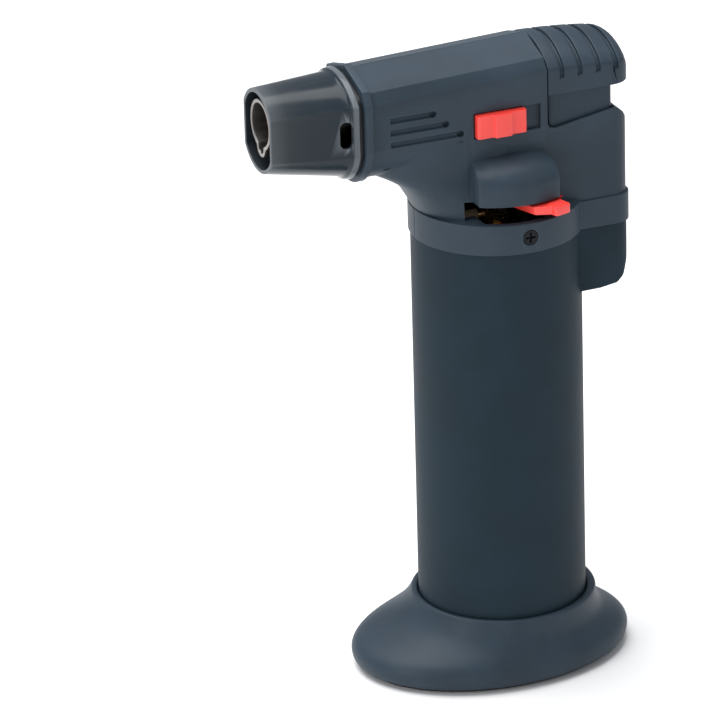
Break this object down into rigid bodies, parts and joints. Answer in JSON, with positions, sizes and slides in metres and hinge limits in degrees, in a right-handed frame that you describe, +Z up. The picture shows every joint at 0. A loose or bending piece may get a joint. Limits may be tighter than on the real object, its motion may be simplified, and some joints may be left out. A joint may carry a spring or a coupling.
{
  "type": "butane hand torch",
  "caption": "Upright butane torch on a flared oval stand, with a shielded flame tube, thumb trigger, red slide lock and red flame lever.",
  "frame": {"origin": "axis of the round handle at the level the stand rests on", "axes": "+Z up the handle, -X along the flame, -Y towards the side with the flame lever and slide lock"},
  "size_m": [0.0909, 0.052, 0.1575],
  "materials": {
    "dark_plastic": "fine matt moulded, blue-grey",
    "handle_plastic": "fine matt moulded, darker blue-grey",
    "rubber_sole": "matt",
    "natural_plastic": "unpainted",
    "seal_rubber": "satin",
    "brass": "turned",
    "steel": "turned",
    "spring_steel": "bright wire",
    "red_plastic": "satin moulded",
    "hose": "translucent tan",
    "heat_steel": "heat-tinted stainless",
    "black_plastic": "satin",
    "black_chrome": "polished dark plating",
    "ceramic": "unglazed white",
    "wire_jacket": "silicone jacket",
    "black_steel": "blackened"
  },
  "bodies": {
    "stand": {"stand": "dark_plastic", "stand_pad": "rubber_sole"},
    "torch": {"handle_tank": "handle_plastic", "tank_lid": "natural_plastic", "tank_lid_seal": "seal_rubber", "refill_valve": "brass", "refill_spring": "spring_steel", "refill_seal": "seal_rubber", "valve_body": "brass", "valve_seal": "seal_rubber", "stem_spring": "spring_steel", "gas_tube": "hose", "jet_holder": "brass", "gas_jet": "steel", "mixing_tube": "brass", "burner_head": "brass", "flame_tube": "heat_steel", "burner_bracket": "steel", "shield_gasket": "black_plastic", "heat_shield": "black_chrome", "spark_electrode": "steel", "electrode_insulator": "ceramic", "ignition_wire": "wire_jacket", "piezo_body": "natural_plastic", "piezo_spring": "spring_steel", "rocker_pin": "steel", "housing_left": "dark_plastic", "housing_right": "dark_plastic", "housing_screws": "black_steel", "collar_screw": "black_steel"},
    "refill_stem": {"refill_stem": "steel"},
    "valve_stem": {"valve_stem": "steel"},
    "flame_lever": {"adjust_hub": "brass", "flame_lever": "red_plastic"},
    "piezo_plunger": {"piezo_plunger": "black_plastic"},
    "trigger": {"trigger": "dark_plastic"},
    "rocker": {"rocker": "natural_plastic"},
    "lock": {"lock_slide": "red_plastic", "lock_carrier": "black_plastic"}
  },
  "joints": [
    {"name": "stand_pull", "type": "slide", "parent": "stand", "child": "torch", "axis": [0, 0, 1], "range_m": [0, 0.022]},
    {"name": "trigger_press", "type": "slide", "parent": "torch", "child": "trigger", "axis": [0, 0, -1], "range_m": [0, 0.0045], "stiffness_N_per_m": 600, "springref_m": -0.004},
    {"name": "piezo_press", "type": "slide", "parent": "torch", "child": "piezo_plunger", "axis": [0, 0, -1], "range_m": [0, 0.0045], "deforming": ["piezo_spring"]},
    {"name": "rocker_swing", "type": "hinge", "parent": "torch", "child": "rocker", "pos_m": [0.0055, 0, 0.1273], "axis": [0, 1, 0], "range_deg": [0, 19]},
    {"name": "stem_lift", "type": "slide", "parent": "torch", "child": "valve_stem", "axis": [0, 0, 1], "range_m": [0, 0.0018], "deforming": ["stem_spring"]},
    {"name": "flame_adjust", "type": "hinge", "parent": "torch", "child": "flame_lever", "pos_m": [0, 0, 0.119], "axis": [0, 0, 1], "range_deg": [-40, 0]},
    {"name": "lock_slide", "type": "slide", "parent": "torch", "child": "lock", "axis": [-1, 0, 0], "range_m": [-0.0037, 0]},
    {"name": "refill_press", "type": "slide", "parent": "torch", "child": "refill_stem", "axis": [0, 0, 1], "range_m": [0, 0.0015], "stiffness_N_per_m": 800, "springref_m": -0.001, "deforming": ["refill_spring"]}
  ],
  "couplings": [
    {"joint": "piezo_press", "follows": "trigger_press", "ratio": 1},
    {"joint": "rocker_swing", "follows": "trigger_press", "rad_per_m": 73},
    {"joint": "stem_lift", "follows": "trigger_press", "ratio": 0.4}
  ]
}
